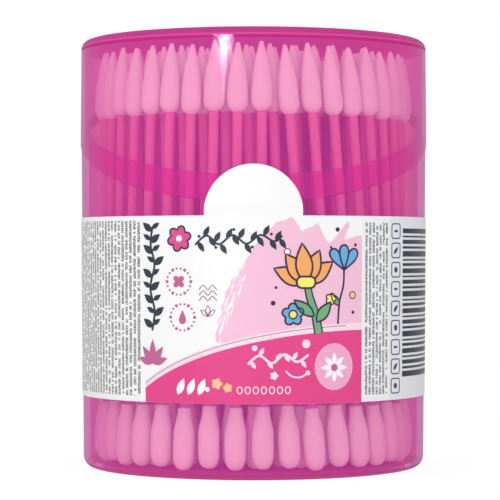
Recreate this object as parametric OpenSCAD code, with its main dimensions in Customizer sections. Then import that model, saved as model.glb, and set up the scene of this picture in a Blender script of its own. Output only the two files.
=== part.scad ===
// Cotton swab tub: a round cup with a slanted seam, a lift-off lid, a wrapped label and a pack of swabs.
// The front faces -Y, the base stands on z = 0 and the axis of the tub is the Z axis.

/* [Swabs] */
// Length of a whole swab, tip to tip
swab_l = 75; // [70:0.1:80]
// Diameter of the paper stick
stick_d = 1.8; // [1.6:0.05:2]
// Widest diameter of the pointed bud
point_d = 3.8; // [3.4:0.05:3.95]
// Widest diameter of the round bud
round_d = 3.95; // [3.4:0.05:4]
// Length of the pointed bud
point_l = 12.2; // [10:0.1:14]
// Height of the widest place of the pointed bud, from its tip
point_widest = 10; // [8:0.1:10.4]
// Radius of the blunt tip of the pointed bud
point_tip_r = 0.3; // [0.15:0.05:0.4]
// Length of the round bud
round_l = 12; // [10:0.1:14]
// Length of the domed end of the round bud
round_dome = 3.6; // [2.8:0.1:4.4]
// Height at which the round bud starts to narrow, from its end
round_taper_at = 6; // [4.5:0.1:7]
// Diameter of the narrow end of the round bud
round_neck_d = 2.45; // [2.3:0.05:2.8]
// How far the stick stops short of the tip of the pointed bud
stick_inset_point = 4; // [3.6:0.1:6]
// How far the stick stops short of the end of the round bud
stick_inset_round = 2; // [1.5:0.1:4]
// Room between the stick and the cotton wound on it
winding_gap = 0.02; // [0.01:0.01:0.05]

/* [Bundle] */
// Room between neighbouring buds of a ring
bud_gap = 0.1; // [0.1:0.05:0.5]
// Room between one ring of buds and the next
ring_gap = 0.07; // [0.07:0.01:0.4]
// Extra room inside the outer ring, whose swabs lean most
lean_gap = 0.15; // [0.15:0.05:0.5]
// Swabs in the innermost ring
core_count = 5; // [4:1:5]
// Swabs in the outer ring
outer_count = 38; // [34:1:38]
// Most that a swab stands higher than its neighbours
height_scatter = 0.5; // [0:0.1:0.8]
// Most that a swab of an inner ring stands off its place along the ring
side_scatter = 0.01; // [0:0.01:0.02]
// Most that an inner ring is turned between its two ends, in degrees
ring_twist = 4; // [0:0.5:5]
// How far the upper ends of the outer ring crowd to the front, in degrees
upper_crowding = 5.9; // [0:0.1:6]
// How far the lower ends of the outer ring spread from the front, in degrees
lower_spread = 4.8; // [0:0.1:4.8]
// Angle of the front swab at its upper end, towards +X, in degrees
upper_phase = 2.9; // [0:0.1:8]
// Angle of the front swab at its lower end, towards +X, in degrees
lower_phase = 3.4; // [0:0.1:8]
// Angle of the upper end of the swab that strays into the outer ring, in degrees
stray_phase = 7; // [5:0.5:8]

/* [Tub] */
// Room between the outer swabs and the wall
side_gap = 1.05; // [0.8:0.05:3]
// Room between the lower buds and the floor
floor_gap = 0.2; // [0.1:0.05:0.5]
// Thickness of the floor
floor_t = 1.1; // [0.8:0.1:2]
// Thickness of the neck inside the lid
neck_t = 0.65; // [0.5:0.05:1]
// Width by which the shoulder stands out from the neck
shoulder_w = 0.7; // [0.6:0.05:1.2]
// Narrowing of the outside from the shoulder down to the foot
draft = 0.4; // [0:0.05:0.6]
// Narrowing of the inside from the neck down to the floor
inner_draft = 0.3; // [0:0.05:0.4]
// Radius of the bottom corner outside
foot_fillet = 2; // [1:0.1:3]
// Radius of the bottom corner inside
floor_fillet = 0.9; // [0.5:0.1:1]
// Depth of the hollow under the floor
foot_recess = 0.4; // [0.2:0.05:0.6]
// Width of the foot ring on its flat face
foot_w = 1.4; // [1:0.1:3]

/* [Seam] */
// Height of the lid at its sides, from the seam to the top
lid_side_h = 18.3; // [16:0.1:24]
// Slope of the seam, in degrees
seam_slope = 21; // [8:0.5:22]
// Overlap of the lid and the neck at the sides
overlap = 2.9; // [2.6:0.1:4]
// How much flatter the neck is cut than the seam, in degrees
neck_flatter = 2.3; // [0:0.1:2.4]

/* [Lid] */
// Room between the lid and the neck
lid_fit = 0.08; // [0.05:0.01:0.1]
// Thickness of the skirt at its rim
lid_wall = 0.8; // [0.7:0.05:1.2]
// Narrowing of the outside of the lid from the rim up
lid_draft = 0.15; // [0:0.05:0.25]
// Thickness of the top
lid_top_t = 1; // [0.8:0.1:2]
// Room between the swab tips and the top
head_room = 1.7; // [1:0.1:6]
// Radius of the top corner outside
lid_fillet = 1.6; // [1:0.1:2.5]
// Radius of the top corner inside
lid_inner_fillet = 0.9; // [0.5:0.1:1.2]

/* [Label] */
// Height of the lower edge of the label
label_z = 13.4; // [6:0.1:18]
// Room between the label and the lowest place of the seam
label_gap = 2.2; // [1.8:0.1:8]
// Thickness of the film
film_t = 0.12; // [0.08:0.01:0.2]
// Thickness of the glue
glue_t = 0.02; // [0.01:0.01:0.05]
// Overlap of the two ends at the back
label_overlap = 5; // [3:0.5:8]
// Radius of the half-round tab
tab_r = 8.65; // [6:0.05:10]
// Height of the centre of the tab above the upper edge
tab_rise = 0.3; // [0.1:0.1:1]
// Room between the tab and the lid
tab_gap = 0.12; // [0.1:0.01:0.3]

/* [Hidden] */
ring_count = 7;
rings = [for (k = [1:ring_count]) k];
$fn = 72;
smooth_steps = 5;
far = 80;
fillet_steps = 6;
trim = 1;
stick_end_room = 0.05;
bud_edge = 0.12;
point_base_power = 2.8;
round_dome_power = 2.5;
scatter_turn = 137.5;
scatter_ring = 11;
scatter_shift = 3;
ring_phase = 31;
twist_turn = 97;
pink = [0.9, 0.25, 0.6, 0.5];
cotton = [0.95, 0.92, 0.94];
paper = [0.92, 0.33, 0.6];
print = [0.97, 0.78, 0.88];

// Rings of swabs, from the inside out
bud_d = max(point_d, round_d);
bud_pitch = bud_d + bud_gap;
ring_step = bud_d + ring_gap;
core_r = bud_pitch / (2 * sin(180 / core_count));
function is_outer(k) = k == ring_count;
function ring_r(k) = core_r + (k - 1) * ring_step + (is_outer(k) ? lean_gap : 0);
function swabs(k) = is_outer(k) ? outer_count : floor(180 / asin(bud_pitch / (2 * ring_r(k))));
function slot_step(k) = 360 / swabs(k);
bore_r = stick_d / 2 + winding_gap;

// Radii and heights of the tub and the lid
bundle_r = ring_r(ring_count) + bud_d / 2;
inner_r = bundle_r + side_gap;
neck_r = inner_r + neck_t;
shoulder_r = neck_r + shoulder_w;
foot_r = shoulder_r - draft;
swab_z = floor_t + floor_gap;
under_lid_z = swab_z + swab_l + head_room;
top_z = under_lid_z + lid_top_t;
seam_h = top_z - lid_side_h;
neck_slope = seam_slope - neck_flatter;
neck_h = seam_h + overlap;
lid_inner_r = neck_r + lid_fit;
lid_r = lid_inner_r + lid_wall;
lid_top_r = lid_r - lid_draft;
lid_low_z = seam_h - tan(seam_slope) * lid_r;
label_top = lid_low_z - label_gap;
tab_z = label_top + tab_rise;
function outside_r(z) = foot_r + draft * z / seam_h;
function label_r(z) = outside_r(z) + glue_t;
overlap_turn = label_overlap / label_r(label_top) * 180 / PI;

// Points of a quarter circle of radius r about c, from angle a to angle b
function corner(c, r, a, b) = [
    for (i = [0:fillet_steps])
        let (t = a + (b - a) * i / fillet_steps)
        [c[0] + r * cos(t), c[1] + r * sin(t)]
];

// Half space above a plane that rises towards the back
module above(h, slope) {
    translate([0, 0, h])
        rotate([slope, 0, 0])
            translate([-far, -far * 1.5, 0])
                cube([far * 2, far * 3, far * 2]);
}

module tub() {
    color(pink)
        difference() {
            rotate_extrude()
                tub_profile();
            above(neck_h, neck_slope);
            difference() {
                above(seam_h, seam_slope);
                cylinder(r = neck_r, h = top_z);
            }
        }
}

module tub_profile() {
    foot_in = foot_r - foot_fillet - foot_w;
    // The hollow under the floor has a slope of 45 degrees at its edge
    polygon(concat(
        [[0, foot_recess], [foot_in - foot_recess, foot_recess], [foot_in, 0]],
        corner([foot_r - foot_fillet, foot_fillet], foot_fillet, -90, 0),
        [[shoulder_r, seam_h], [shoulder_r, top_z], [inner_r, top_z], [inner_r, neck_h]],
        corner([inner_r - inner_draft - floor_fillet, floor_t + floor_fillet],
            floor_fillet, 0, -90),
        [[0, floor_t]]
    ));
}

module lid() {
    color(pink)
        difference() {
            rotate_extrude()
                lid_profile();
            mirror([0, 0, 1])
                above(-seam_h, -seam_slope);
        }
}

module lid_profile() {
    polygon(concat(
        [[lid_inner_r, lid_low_z - 1], [lid_r, lid_low_z - 1], [lid_r, lid_low_z]],
        corner([lid_top_r - lid_fillet, top_z - lid_fillet], lid_fillet, 0, 90),
        [[0, top_z], [0, under_lid_z]],
        corner([lid_inner_r - lid_inner_fillet, under_lid_z - lid_inner_fillet],
            lid_inner_fillet, 90, 0)
    ));
}

// Two layers of film are laid all round, and the outer one is cut back to the overlap at the back
module label() {
    color(print)
        difference() {
            intersection() {
                rotate_extrude()
                    polygon(concat(film_line(0, trim), reversed(film_line(film_t * 2, trim))));
                label_outline();
            }
            rotate([0, 0, 90 + overlap_turn / 2])
                rotate_extrude(angle = 360 - overlap_turn)
                    polygon(concat(
                        film_line(film_t, trim * 2),
                        [[far / 2, top_z], [far / 2, label_z - trim * 2]]
                    ));
        }
}

// Line that the film follows: up the tub, out past the rim of the lid and up in front of the lid
function film_line(lift, more) = [
    [label_r(label_z - more) + lift, label_z - more],
    [label_r(label_top) + lift, label_top],
    [lid_r + tab_gap + lift, lid_low_z],
    [lid_r + tab_gap + lift, tab_z + tab_r + more]
];
function reversed(list) = [for (i = [len(list) - 1:-1:0]) list[i]];

// The band round the tub and the round tab at the front
module label_outline() {
    translate([0, 0, label_z])
        cylinder(r = far / 2, h = label_top - label_z);
    translate([0, 0, tab_z])
        rotate([90, 0, 0])
            cylinder(r = tab_r, h = far / 2);
}

// Angles of the two ends of swab i of ring k. In the outer ring the upper ends crowd to the front and
// the lower ends spread, because the lower end of one swab of the next ring has strayed in between.
// That next ring twists the same way as the stray swab, which leaves it room
function scatter(k, i) = sin(scatter_turn * (i + scatter_ring * k));
function phase(k) = k == ring_count - 1 ? stray_phase : ring_phase * k;
function twist(k) = ring_twist * (k == ring_count - 1 ? 1 : sin(twist_turn * k));
function nudge(k, i) = side_scatter / ring_r(k) * 180 / PI * scatter(k, i + scatter_shift);
function inner_angle(k, i) = phase(k) + slot_step(k) * i + nudge(k, i);
function outer_turn(i) = slot_step(ring_count) * i;
function outer_upper(i) = upper_phase + outer_turn(i) - upper_crowding * sin(outer_turn(i));
lower_step = 360 / (outer_count + 1);
function lower_turn(i) = lower_step * (i > 0 ? i + 1 : i);
function outer_lower(i) = spread_lower(lower_turn(i));
function spread_lower(a) = lower_phase + a + lower_spread * sin(a);
function upper_angle(k, i) = is_outer(k) ? outer_upper(i) : inner_angle(k, i);
function lower_angle(k, i) = is_outer(k) ? outer_lower(i) : inner_angle(k, i) + twist(k);
function on_ring(k, a) = [ring_r(k) * sin(a), -ring_r(k) * cos(a), 0];
function upper_end(k, i) = on_ring(k, upper_angle(k, i));
function strays(k, i) = k == ring_count - 1 && i == 0;
function lower_end(k, i) =
    strays(k, i) ? on_ring(ring_count, spread_lower(lower_step)) : on_ring(k, lower_angle(k, i));
function lift(k, i) = height_scatter / 2 * (1 + scatter(k, i));

// Sets children that stand on z = 0 on the line of each swab of ring k
module each_swab(k) {
    for (i = [0:swabs(k) - 1]) {
        low = lower_end(k, i);
        reach = upper_end(k, i) - low;
        translate(low + [0, 0, swab_z + lift(k, i)])
            rotate([0, asin(norm(reach) / swab_l), atan2(reach[1], reach[0])])
                children();
    }
}

module swab_sticks(k) {
    color(paper)
        each_swab(k)
            translate([0, 0, stick_inset_round])
                cylinder(d = stick_d, h = swab_l - stick_inset_round - stick_inset_point);
}

module round_buds(k) {
    color(cotton)
        each_swab(k)
            rotate_extrude()
                round_profile();
}

module pointed_buds(k) {
    color(cotton)
        each_swab(k)
            rotate_extrude()
                point_profile();
}

module round_profile() {
    steps = [for (s = [0:smooth_steps]) s / smooth_steps];
    dome = [
        for (s = steps)
            let (u = 1 - pow(s, 2))
            [round_d / 2 * pow(1 - pow(u, round_dome_power), 1 / round_dome_power),
                round_dome * (1 - u)]
    ];
    taper = [
        for (s = steps)
            [round_d / 2 - (round_d - round_neck_d) / 4 * (1 - cos(180 * s)),
                round_taper_at + (round_l - round_taper_at) * s]
    ];
    stick_z = stick_inset_round - stick_end_room;
    polygon(concat(dome, taper, [[bore_r, round_l], [bore_r, stick_z], [0, stick_z]]));
}

module point_profile() {
    steps = [for (s = [0:smooth_steps]) s / smooth_steps];
    nose = [
        for (s = steps)
            [point_tip_r + (point_d / 2 - point_tip_r) * (1 - pow(1 - s, 2)),
                swab_l - point_widest * s]
    ];
    base_r = bore_r + bud_edge;
    base = [
        for (s = [1:smooth_steps])
            let (u = sin(90 * s / smooth_steps))
            [max(base_r, point_d / 2 * pow(1 - pow(u, point_base_power), 1 / point_base_power)),
                swab_l - point_widest - (point_l - point_widest) * u]
    ];
    stick_z = swab_l - stick_inset_point + stick_end_room;
    polygon(concat(
        [[0, swab_l]], nose, base,
        [[bore_r, swab_l - point_l], [bore_r, stick_z], [0, stick_z]]
    ));
}

tub();
lid();
label();
for (k = rings) {
    swab_sticks(k);
    pointed_buds(k);
    round_buds(k);
}
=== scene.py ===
# %% [markdown]
# # A tub of cotton swabs
# This file dresses a tub of cotton swabs: a round cup and a lid of clear pink plastic, a printed label
# round the cup, and seven rings of swabs that stand inside.
# The swabs show through the plastic, so most of the look comes from three things: how the plastic tints
# what is behind it, how soft the cotton looks, and how crisp the print is.
# Every size is in metres, with the tub standing on the floor at the origin and its front facing -Y.

# %% Load the frame
import math

import bmesh
import bpy
import numpy as np
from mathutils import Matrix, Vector


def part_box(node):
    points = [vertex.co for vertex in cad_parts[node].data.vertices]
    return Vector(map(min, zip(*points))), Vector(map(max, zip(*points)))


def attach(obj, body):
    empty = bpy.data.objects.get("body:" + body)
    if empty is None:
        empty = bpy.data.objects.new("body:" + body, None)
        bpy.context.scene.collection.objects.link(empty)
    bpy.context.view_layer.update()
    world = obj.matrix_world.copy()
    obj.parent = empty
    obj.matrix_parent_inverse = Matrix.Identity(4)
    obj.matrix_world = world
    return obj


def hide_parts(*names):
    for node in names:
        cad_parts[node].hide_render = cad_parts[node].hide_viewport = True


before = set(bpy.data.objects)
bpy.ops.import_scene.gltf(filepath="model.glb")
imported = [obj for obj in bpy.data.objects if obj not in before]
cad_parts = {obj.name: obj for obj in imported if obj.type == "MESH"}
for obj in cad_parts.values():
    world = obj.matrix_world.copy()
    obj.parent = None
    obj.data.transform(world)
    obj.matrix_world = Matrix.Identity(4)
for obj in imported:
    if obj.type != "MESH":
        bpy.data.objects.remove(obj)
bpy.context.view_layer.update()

MM = 0.001

# %% [markdown]
# ## The camera
# The tub was seen dead straight, from half its height and less than half a metre away. That is close enough
# for the round top and the round foot to bow, so the distance matters more than the lens.
# A long lens is then chosen that fills the square picture with the tub.

# %% Place the camera
CAMERA_AWAY = 425.6 * MM
CAMERA_HEIGHT = 39.5 * MM
LENS_MM = 163.7
SENSOR_MM = 36
PICTURE_PX = 500
OBJECT_RIGHT_PX = 3.5
OBJECT_DOWN_PX = 3.5
NEAREST_SEEN = 10 * MM

camera_data = bpy.data.cameras.new("camera")
camera_data.lens = LENS_MM
camera_data.sensor_width = SENSOR_MM
camera_data.shift_x = -OBJECT_RIGHT_PX / PICTURE_PX
camera_data.shift_y = OBJECT_DOWN_PX / PICTURE_PX
camera_data.clip_start = NEAREST_SEEN
camera = bpy.data.objects.new("camera", camera_data)
camera.location = (0, -CAMERA_AWAY, CAMERA_HEIGHT)
camera.rotation_euler = (math.radians(90), 0, 0)
bpy.context.scene.collection.objects.link(camera)
bpy.context.scene.camera = camera
bpy.context.scene.view_settings.view_transform = "Standard"
print("the camera stands", round(CAMERA_AWAY / MM), "mm from the axis of the tub")

# %% [markdown]
# ## Colours
# A colour picker gives the values that a screen shows, from 0 to 255, while a shader works in linear light.
# One small helper turns the first into the second, so that the colours below can be read as seen.


# %% Turn a screen colour into linear light
def seen(red, green, blue):
    linear = []
    for value in (red, green, blue):
        share = value / 255
        low = share / 12.92
        high = ((share + 0.055) / 1.055) ** 2.4
        linear.append(low if share <= 0.04045 else high)
    return (*linear, 1.0)


WHITE = (1.0, 1.0, 1.0, 1.0)
print("screen mid grey is", round(seen(128, 128, 128)[0], 3), "in linear light")

# %% [markdown]
# ## Helpers for materials
# Each finish is a short chain of shader nodes. `Chain` starts an empty material and adds nodes to it, and
# its `math` and `mix` save the lines that would only join sockets.


# %% Build chains of shader nodes
class Chain:
    def __init__(self, name):
        self.material = bpy.data.materials.new(name)
        self.material.use_nodes = True
        self.tree = self.material.node_tree
        self.tree.nodes.clear()
        self.output = self.add("ShaderNodeOutputMaterial")

    def add(self, kind, **settings):
        node = self.tree.nodes.new(kind)
        for key, value in settings.items():
            setattr(node, key, value)
        return node

    def plug(self, socket, value):
        if isinstance(value, bpy.types.NodeSocket):
            self.tree.links.new(value, socket)
        else:
            socket.default_value = value

    def math(self, operation, *values, clamp=False):
        node = self.add("ShaderNodeMath", operation=operation, use_clamp=clamp)
        for socket, value in zip(node.inputs, values):
            self.plug(socket, value)
        return node.outputs[0]

    def mix(self, share, first, second):
        node = self.add("ShaderNodeMix", data_type="RGBA")
        # The first sockets of this node are for numbers and vectors, so the colour ones are found by name
        sockets = {socket.identifier: socket for socket in node.inputs}
        self.plug(sockets["Factor_Float"], share)
        self.plug(sockets["A_Color"], first)
        self.plug(sockets["B_Color"], second)
        return next(socket for socket in node.outputs if socket.identifier == "Result_Color")

    def blend_shaders(self, share, first, second):
        node = self.add("ShaderNodeMixShader")
        self.plug(node.inputs[0], share)
        self.plug(node.inputs[1], first)
        self.plug(node.inputs[2], second)
        return node.outputs[0]

    def noise(self, where, scale, detail=2.0, roughness=0.5):
        node = self.add("ShaderNodeTexNoise")
        self.plug(node.inputs["Vector"], where)
        node.inputs["Scale"].default_value = scale
        node.inputs["Detail"].default_value = detail
        node.inputs["Roughness"].default_value = roughness
        return node.outputs["Fac"]

    def stretch(self, where, scale):
        node = self.add("ShaderNodeVectorMath", operation="MULTIPLY")
        self.plug(node.inputs[0], where)
        node.inputs[1].default_value = scale
        return node.outputs[0]

    def bump(self, height, distance, strength=1.0):
        node = self.add("ShaderNodeBump")
        self.plug(node.inputs["Height"], height)
        node.inputs["Distance"].default_value = distance
        node.inputs["Strength"].default_value = strength
        return node.outputs["Normal"]

    def principled(self, colour, roughness, specular=0.5):
        node = self.add("ShaderNodeBsdfPrincipled")
        self.plug(node.inputs["Base Color"], colour)
        node.inputs["Roughness"].default_value = roughness
        node.inputs["Specular IOR Level"].default_value = specular
        return node

    def finish(self, shader):
        self.tree.links.new(shader, self.output.inputs["Surface"])
        return self.material


print("a chain can", [name for name in vars(Chain) if not name.startswith("_")])

# %% [markdown]
# ## Clear pink plastic
# The cup and the lid are thin walls with a magenta tint. Real glass shaders bend light, which a wall under
# a millimetre thick hardly does, and they leave the swabs inside dark and noisy.
# So each face is a coloured window instead: a Transparent shader tints whatever lies behind, and a little
# plain pink stands for the light that the plastic scatters. Layer Weight makes both stronger where the wall
# turns away from the eye, as it would be where the eye looks along the wall and through more of it.
# Only the outer faces get a gloss on top. The inner faces of a real wall shine less, and with so many walls
# in a row their gloss would add up to a grey veil.
# The neck has a window of its own, because the lid's skirt lies over it and the two layers show as a deeper
# band. The rounded corners have another, deep and milky, since there the eye looks lengthwise through the
# wall. The flat ceiling and floor take a third, clear from above and milky at a low angle.
# Light on its way in, straight from a lamp or bounced off the swabs, is tinted less than light on its way
# out, because light also gets into a real tub by paths that this shader doesn't follow, such as along the
# wall.

# %% Colours of the plastic
WINDOW_FACE = seen(252, 238, 239)
WINDOW_NECK = seen(253, 172, 216)
WINDOW_CORNER = seen(250, 176, 216)
WINDOW_EDGE = seen(232, 132, 190)
WINDOW_LIGHT = seen(254, 252, 254)
PLASTIC_PINK = seen(250, 60, 196)
CORNER_PINK = seen(206, 54, 148)
# Painted light for the lid's corner: a painted highlight and, below it, a painted shade, where the real
# wall bends light
PAINTED_HIGHLIGHT_PINK = seen(236, 82, 176)
PAINTED_SHADE_PINK = seen(198, 34, 132)
FLAT_PINK = seen(255, 156, 214)
GLOSS_TINT = seen(232, 222, 250)
print("the plastic lets through", [round(value, 2) for value in WINDOW_EDGE[:3]], "where it turns away")

# %% Make the tinted plastic
GLOSS_HEAD_ON = 0.03
GLOSS_ROUGHNESS = 0.055
SCATTER_ON_THE_WAY_IN = 0.06
BOUNCED_LET_IN = 0.68
# How late each effect sets in as the wall turns away: the higher, the closer to the edge it stays
TINT_POWER = 2.0
SCATTER_POWER = 3.0
GLOSS_POWER = 4.0
# Moulded plastic is never quite even: slow waves, so many to the metre, that only the gloss shows
MOULD_WAVES = (60.0, 60.0, 25.0)
MOULD_WAVE_H = 0.03 * MM
MOULD_WAVE_SHARE = 0.08


def tinted_plastic(name, window_face, pink, scatter, gloss_edge):
    """A window. The scatter is a pair of shares, seen head on and at the edge of the round."""
    chain = Chain(name)
    weight = chain.add("ShaderNodeLayerWeight")
    weight.inputs["Blend"].default_value = 0.5
    facing = weight.outputs["Facing"]
    path = chain.add("ShaderNodeLightPath")
    tint = chain.mix(chain.math("POWER", facing, TINT_POWER), window_face, WINDOW_EDGE)
    window = chain.add("ShaderNodeBsdfTransparent")
    bounced = chain.math("MULTIPLY", path.outputs["Is Diffuse Ray"], BOUNCED_LET_IN)
    let_in = chain.math("MAXIMUM", path.outputs["Is Shadow Ray"], bounced)
    chain.plug(window.inputs["Color"], chain.mix(let_in, tint, WINDOW_LIGHT))
    body = chain.principled(pink, 0.5, specular=0.0)
    head_on, at_edge = scatter
    grows = chain.math("POWER", facing, SCATTER_POWER)
    scatter_seen = chain.math("MULTIPLY_ADD", grows, at_edge - head_on, head_on)
    scatter_left = chain.math("MULTIPLY_ADD", let_in, SCATTER_ON_THE_WAY_IN - 1.0, 1.0)
    scattered = chain.math("MULTIPLY", scatter_seen, scatter_left)
    wall = chain.blend_shaders(scattered, window.outputs[0], body.outputs[0])
    if gloss_edge == 0:
        return chain.finish(wall)
    coords = chain.add("ShaderNodeTexCoord").outputs["Object"]
    waves = chain.noise(chain.stretch(coords, MOULD_WAVES), 1.0, detail=1.0)
    gloss = chain.add("ShaderNodeBsdfAnisotropic")
    gloss.inputs["Roughness"].default_value = GLOSS_ROUGHNESS
    gloss.inputs["Color"].default_value = GLOSS_TINT
    chain.plug(gloss.inputs["Normal"], chain.bump(waves, MOULD_WAVE_H, MOULD_WAVE_SHARE))
    shine_grows = chain.math("POWER", facing, GLOSS_POWER)
    shine = chain.math("MULTIPLY_ADD", shine_grows, gloss_edge - GLOSS_HEAD_ON, GLOSS_HEAD_ON)
    return chain.finish(chain.blend_shaders(shine, wall, gloss.outputs[0]))


plastics = [
    tinted_plastic("plastic_outside", WINDOW_FACE, PLASTIC_PINK, scatter=(0.33, 0.44), gloss_edge=0.8),
    tinted_plastic("plastic_inside", WINDOW_FACE, PLASTIC_PINK, scatter=(0.02, 0.14), gloss_edge=0),
    tinted_plastic("plastic_neck", WINDOW_NECK, PLASTIC_PINK, scatter=(0.16, 0.28), gloss_edge=0.8),
    tinted_plastic("plastic_corner", WINDOW_CORNER, CORNER_PINK, scatter=(0.62, 0.74), gloss_edge=0.3),
    tinted_plastic("plastic_flat", WINDOW_FACE, FLAT_PINK, scatter=(0.04, 0.62), gloss_edge=0),
    # The next two are painted light: the highlight and the shade that bent light draws at the lid's corner
    tinted_plastic("plastic_painted_highlight_line", WINDOW_CORNER, PAINTED_HIGHLIGHT_PINK, scatter=(0.66, 0.74), gloss_edge=0.3),
    tinted_plastic("plastic_painted_shade_line", WINDOW_CORNER, PAINTED_SHADE_PINK, scatter=(0.62, 0.74), gloss_edge=0.3),
]
OUTSIDE, INSIDE, NECK, CORNER, FLAT, PAINTED_HIGHLIGHT, PAINTED_SHADE = range(7)
print("made", [plastic.name for plastic in plastics])

# %% [markdown]
# ## Walls turned on a lathe, with a slanted cut
# The cup and the lid are round, but the seam between them is a slanted plane. A plain lathe can't make
# that, and a boolean cut leaves long thin faces that shade badly.
# Here each ring of the lathe may tilt: a station has a radius, a height on the axis and a slope, and its
# points rise towards the back by the slope. Stations between the flat foot and the slanted seam tilt a
# share of the way, so the faces stay even all over.

# %% Sizes of the cup and the lid
TOP_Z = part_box("lid")[1].z
LID_R = -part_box("lid")[0].y
LID_SIDE_H = 18.3 * MM
SEAM_H = TOP_Z - LID_SIDE_H
SEAM_ANGLE = 21
SEAM_RISE = math.tan(math.radians(SEAM_ANGLE))
NECK_OVER_SEAM = 2.9 * MM
NECK_H = SEAM_H + NECK_OVER_SEAM
NECK_ANGLE = 18.7
NECK_RISE = math.tan(math.radians(NECK_ANGLE))
LID_WALL = 0.8 * MM
LID_FIT = 0.08 * MM
LID_DRAFT = 0.15 * MM
LID_FILLET = 1.6 * MM
LID_TOP_T = 1.0 * MM
LID_LOW_Z = SEAM_H - SEAM_RISE * LID_R
LID_INNER_R = LID_R - LID_WALL
NECK_R = LID_INNER_R - LID_FIT
NECK_T = 0.65 * MM
SHOULDER_W = 0.7 * MM
SHOULDER_R = NECK_R + SHOULDER_W
DRAFT = 0.4 * MM
FOOT_R = SHOULDER_R - DRAFT
INNER_R = NECK_R - NECK_T
INNER_DRAFT = 0.3 * MM
FOOT_FILLET = 2.0 * MM
FOOT_W = 1.4 * MM
FOOT_RECESS = 0.4 * MM
FLOOR_T = 1.1 * MM
INNER_FILLET = 0.9 * MM
EDGE_SOFT = 0.12 * MM
print("lid radius", round(LID_R / MM, 2), "mm, neck radius", round(NECK_R / MM, 2), "mm")

# %% Turn a profile whose stations may tilt
ROUND_STEPS = 192
CUP_WALL_ROWS = 24
NECK_ROWS = 5
LID_WALL_ROWS = 16
WALL_SHARP_ANGLE = math.radians(40)


def station(radius, height, rise=0.0):
    return (radius, height, rise)


def arc_stations(centre_r, centre_z, radius, start, end, steps=7):
    angles = np.radians(np.linspace(start, end, steps))
    return [station(centre_r + radius * math.cos(a), centre_z + radius * math.sin(a)) for a in angles]


def wall_stations(first, last, steps):
    shares = np.linspace(0, 1, steps + 1)[1:-1]
    return [tuple(a + (b - a) * s for a, b in zip(first, last)) for s in shares]


def add_object(name, mesh, body, *materials):
    piece = bpy.data.objects.new(name, mesh)
    bpy.context.scene.collection.objects.link(piece)
    for material in materials:
        mesh.materials.append(material)
    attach(piece, body)
    return piece


def ring_points(stations):
    """Points of each station in turn. A station at radius 0 has one point only."""
    rows, points = [], []
    for radius, height, rise in stations:
        steps = ROUND_STEPS if radius > 0 else 1
        rows.append([len(points) + i for i in range(steps)])
        for i in range(steps):
            turn = 2 * math.pi * i / ROUND_STEPS
            z = height - rise * radius * math.cos(turn)
            points.append((radius * math.sin(turn), -radius * math.cos(turn), z))
    return rows, points


def turned(name, sections, body):
    """Turns stations round the Z axis. Each section has a list of stations and the plastic of its faces."""
    rows, points = ring_points([item for stations, plastic in sections for item in stations])
    row_slots = [plastic for stations, plastic in sections for item in stations]
    faces, slots = [], []
    for row, (low, high) in enumerate(zip(rows, rows[1:])):
        for i in range(ROUND_STEPS):
            j = (i + 1) % ROUND_STEPS
            if len(low) == 1:
                faces.append((low[0], high[j], high[i]))
            elif len(high) == 1:
                faces.append((low[i], low[j], high[0]))
            else:
                faces.append((low[i], low[j], high[j], high[i]))
            slots.append(row_slots[row])
    mesh = bpy.data.meshes.new(name)
    mesh.from_pydata(points, [], faces)
    piece = add_object(name, mesh, body, *plastics)
    mesh.polygons.foreach_set("material_index", slots)
    mesh.shade_smooth()
    mesh.set_sharp_from_angle(angle=WALL_SHARP_ANGLE)
    return piece


print("a wall has", ROUND_STEPS, "faces in each ring")

# %% [markdown]
# ## The cup
# The cup is one moulded wall: a foot with a shallow hollow and a rounded corner, a side that widens a
# little so that it leaves its mould, a slanted shoulder that carries the lid, and a thinner neck above it.
# It could be an outside skin that a modifier thickens, but the neck, the side and the floor differ in
# thickness. So it is turned as one closed skin, from the middle of the foot, up the outside, over the neck
# and down the inside to the middle of the floor, and each stretch gets the window that suits it.

# %% Turn the cup
# Degrees round the foot's corner: -90 is under the foot and 0 is at the side
FOOT_MILKY_TO = -40
FOOT_CLEAR_FROM = -30


def foot_corner(start, end, steps):
    return arc_stations(FOOT_R - FOOT_FILLET, FOOT_FILLET, FOOT_FILLET, start, end, steps)


def cup_foot():
    foot_in = FOOT_R - FOOT_FILLET - FOOT_W
    hollow = [station(0, FOOT_RECESS), station(foot_in - FOOT_RECESS, FOOT_RECESS), station(foot_in, 0)]
    return hollow + foot_corner(-90, FOOT_MILKY_TO, 5)


def cup_outside():
    above_foot = station(FOOT_R, FOOT_FILLET + EDGE_SOFT)
    under_seam = station(SHOULDER_R, SEAM_H - EDGE_SOFT, SEAM_RISE)
    low = foot_corner(FOOT_CLEAR_FROM, 0, 4) + [above_foot]
    high = [under_seam, station(SHOULDER_R - EDGE_SOFT, SEAM_H, SEAM_RISE)]
    return low + wall_stations(above_foot, under_seam, CUP_WALL_ROWS) + high


def cup_neck():
    foot = station(NECK_R, SEAM_H, SEAM_RISE)
    top = station(NECK_R, NECK_H - EDGE_SOFT, NECK_RISE)
    rim_out = station(NECK_R - EDGE_SOFT, NECK_H, NECK_RISE)
    return [foot] + wall_stations(foot, top, NECK_ROWS) + [top, rim_out]


def cup_inside():
    above_floor = station(INNER_R - INNER_DRAFT, FLOOR_T + INNER_FILLET + EDGE_SOFT)
    rim_in = station(INNER_R, NECK_H - EDGE_SOFT, NECK_RISE)
    rim_top = station(INNER_R + EDGE_SOFT, NECK_H, NECK_RISE)
    corner_r = INNER_R - INNER_DRAFT - INNER_FILLET
    corner = arc_stations(corner_r, FLOOR_T + INNER_FILLET, INNER_FILLET, 0, -90)
    return [rim_top, rim_in] + wall_stations(rim_in, above_floor, CUP_WALL_ROWS) + [above_floor] + corner


def cup_floor():
    return [station(INNER_R - INNER_DRAFT - INNER_FILLET - EDGE_SOFT, FLOOR_T), station(0, FLOOR_T)]


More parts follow.
